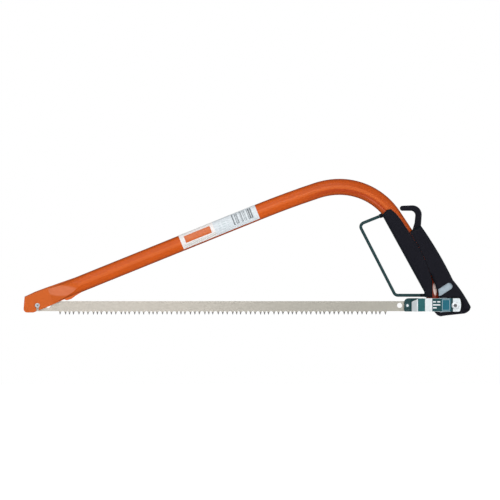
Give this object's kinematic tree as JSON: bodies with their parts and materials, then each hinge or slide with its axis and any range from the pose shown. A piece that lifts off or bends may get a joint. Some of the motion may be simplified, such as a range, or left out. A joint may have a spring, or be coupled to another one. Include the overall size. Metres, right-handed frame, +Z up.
{
  "type": "bow saw",
  "caption": "Bow saw with an oval tube frame, pointed nose, peg-tooth blade, knuckle guard and a handle lever that tensions the blade.",
  "frame": {"origin": "centre of the hand grip, on the saw's middle plane, 60 mm above the blade's pin line", "axes": "+X along the blade from the nose towards the handle, +Y through the saw from its left side to its right side, +Z up from the blade to the frame tube"},
  "size_m": [0.6257, 0.0288, 0.1926],
  "materials": {
    "frame_enamel": "glossy orange enamel",
    "steel": "plain machined",
    "brass": "machined",
    "guard_coating": "dark satin coating",
    "grip_plastic": "fine satin grain",
    "label_film": "satin printed film",
    "plated_steel": "bright zinc plating",
    "holder_film": "satin printed film",
    "blade_steel": "ground, slightly oxidised"
  },
  "bodies": {
    "frame": {"frame_tube": "frame_enamel", "fulcrum_lug": "steel", "fulcrum_bush": "brass", "lug_pin": "steel", "knuckle_guard": "guard_coating", "front_grip_left": "grip_plastic", "front_grip_right": "grip_plastic", "grip_screw_upper": "steel", "grip_screw_lower": "steel", "frame_label": "label_film"},
    "lever": {"lever_shell": "grip_plastic", "lever_plate_left": "plated_steel", "lever_plate_right": "plated_steel", "fulcrum_pin": "steel", "plate_rivet": "steel"},
    "holder": {"blade_holder": "plated_steel", "holder_label": "holder_film", "pivot_pin": "plated_steel", "pivot_washer": "plated_steel", "pivot_clip": "steel", "blade_pin": "plated_steel", "blade_pin_clip": "steel"},
    "blade": {"saw_blade": "blade_steel", "nose_pin": "plated_steel"}
  },
  "joints": [
    {"name": "lever_open", "type": "hinge", "parent": "frame", "child": "lever", "pos_m": [0.021, 0, -0.0645], "axis": [0, 1, 0], "range_deg": [0, 105]},
    {"name": "holder_turn", "type": "hinge", "parent": "lever", "child": "holder", "pos_m": [0.0405, 0, -0.06], "axis": [0, 1, 0], "range_deg": [-105, 0]},
    {"name": "blade_swing", "type": "hinge", "parent": "holder", "child": "blade", "pos_m": [-0.026, 0, -0.06], "axis": [0, 1, 0], "range_deg": [-15, 0]}
  ],
  "couplings": [
    {"joint": "holder_turn", "follows": "lever_open", "ratio": -1}
  ]
}
